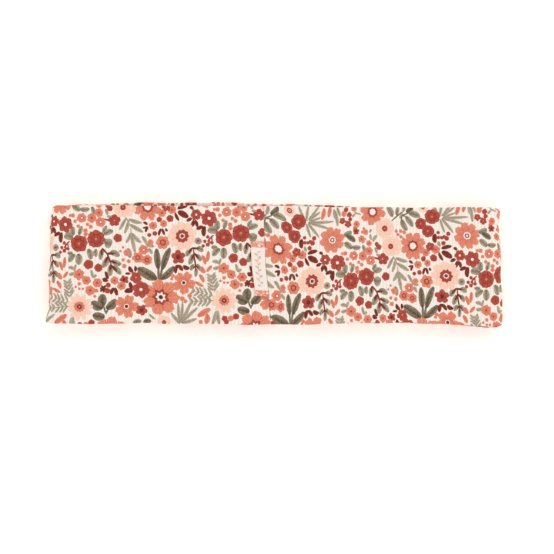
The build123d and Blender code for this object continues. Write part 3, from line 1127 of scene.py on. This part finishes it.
def rounded(line, rounds=3):
    """The line with its corners cut again and again, and its two ends kept."""
    line = np.array(line, float)
    for _ in range(rounds):
        near = 0.75 * line[:-1] + 0.25 * line[1:]
        far = 0.25 * line[:-1] + 0.75 * line[1:]
        line = np.concatenate([line[:1], np.stack([near, far], axis=1).reshape(-1, 2), line[-1:]])
    return line


def ribbon_ring(line):
    """The outline round a ribbon's line, at half its thickness."""
    line = rounded(line)
    ahead = np.gradient(line, axis=0)
    ahead /= np.linalg.norm(ahead, axis=1)[:, None]
    normal = np.stack([-ahead[:, 1], ahead[:, 0]], axis=-1) * RIBBON_THICKNESS / 2
    return np.concatenate([line + normal, (line - normal)[::-1]])


def make_strip(name, line, reach_bottom, reach_top):
    """A ribbon whose line across the seam is carried along the seam, with its reach at both ends."""
    ring = ribbon_ring(line)
    share = np.linspace(0, 1, RIBBON_ROWS + 1)
    share = np.concatenate([[0.0, EDGE_ROW], share[1:-1], [1 - EDGE_ROW, 1.0]])
    s, a = np.meshgrid(share, ring[:, 0], indexing="ij")
    h = np.broadcast_to(ring[:, 1], a.shape)
    v = LABEL_BOTTOM + (LABEL_TOP - LABEL_BOTTOM) * s
    stretch = np.where(a > 0, (reach_bottom + (reach_top - reach_bottom) * s) / FLAP_REACH, 1.0)

    # Above the cloth the free edge is lifted in waves, and set along at its lower end
    out = np.clip(a / FLAP_REACH, 0, 1) * (h > 0)
    height = h + (waves(v, FLAP_WAVES) + FLAP_LIFT) * out ** 2
    shifted = v + LABEL_SKEW * out * (1 - s)
    u = SEAM_X + outer_seam_line(v) - a * stretch
    points = cloth_point(u, shifted, FOLD_RADIUS + height)
    piece = make_object(name, points, *swept_faces(len(share), len(ring)), ribbon)
    place = np.stack([a, v, h], axis=-1)
    add_attribute(piece, "ribbon", place)
    add_attribute(piece, "ribbon_grain", place * RIBBON_GRAIN)
    return piece


flap = make_strip("label_ribbon_flap", FLAP_LINE, LABEL_REACH_BOTTOM, LABEL_REACH_TOP)
tail = make_strip("label_ribbon_tail", TAIL_LINE, FLAP_REACH, FLAP_REACH)

# ---- bodies

for piece, node, others in ((outer, "outer_panel", [lining]), (lining, "lining_panel", [outer])):
    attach(piece, "band")
    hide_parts(node)

for node, path in threads.items():
    piece = make_thread_tube(node + "_stitches", path)
    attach(piece, "band")
    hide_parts(node)

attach(tail, "band")
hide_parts("label_tail")

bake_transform(flap)
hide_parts("label_flap")

# ---- floor, light, camera

FLOOR_HALF = 3
FLOOR_DROP = 0.0001
FRAME_WIDTH = 0.2532
AIM = (0.0007, -0.0055)
CAMERA_HEIGHT = 1.1

# The floor glows a little, so that the picture's ground comes out nearly white
floor_mesh = bpy.data.meshes.new("floor")
corners = [(x * FLOOR_HALF, y * FLOOR_HALF, 0) for x, y in ((-1, -1), (1, -1), (1, 1), (-1, 1))]
floor_mesh.from_pydata(corners, [], [(0, 1, 2, 3)])
pale = new_material(
    "pale_floor", Base_Color=(0.93, 0.90, 0.87, 1), Roughness=0.9, Specular_IOR_Level=0.0,
    Emission_Color=(1.0, 0.80, 0.73, 1), Emission_Strength=0.34,
)[0]
floor_mesh.materials.append(pale)
add_to_scene("floor", floor_mesh, (0, 0, -FLOOR_DROP))

# A square soft light that faces the band
light = bpy.data.lights.new("window", "AREA")
light.size = 1.0
light.energy = 5
lamp = add_to_scene("window", light, (1.0, 1.2, 1.5))
lamp.rotation_euler = (-lamp.location).to_track_quat("-Z", "Y").to_euler()

world = bpy.data.worlds.new("studio")
world.use_nodes = True
world.node_tree.nodes["Background"].inputs[0].default_value = (1.0, 0.99, 0.98, 1)
world.node_tree.nodes["Background"].inputs[1].default_value = 0.93
bpy.context.scene.world = world

camera_data = bpy.data.cameras.new("camera")
camera_data.angle = 2 * math.atan(FRAME_WIDTH / 2 / CAMERA_HEIGHT)
camera_place = (*AIM, outer_high[2] * MM + CAMERA_HEIGHT)
bpy.context.scene.camera = add_to_scene("camera", camera_data, camera_place)
bpy.context.scene.view_settings.view_transform = "Standard"
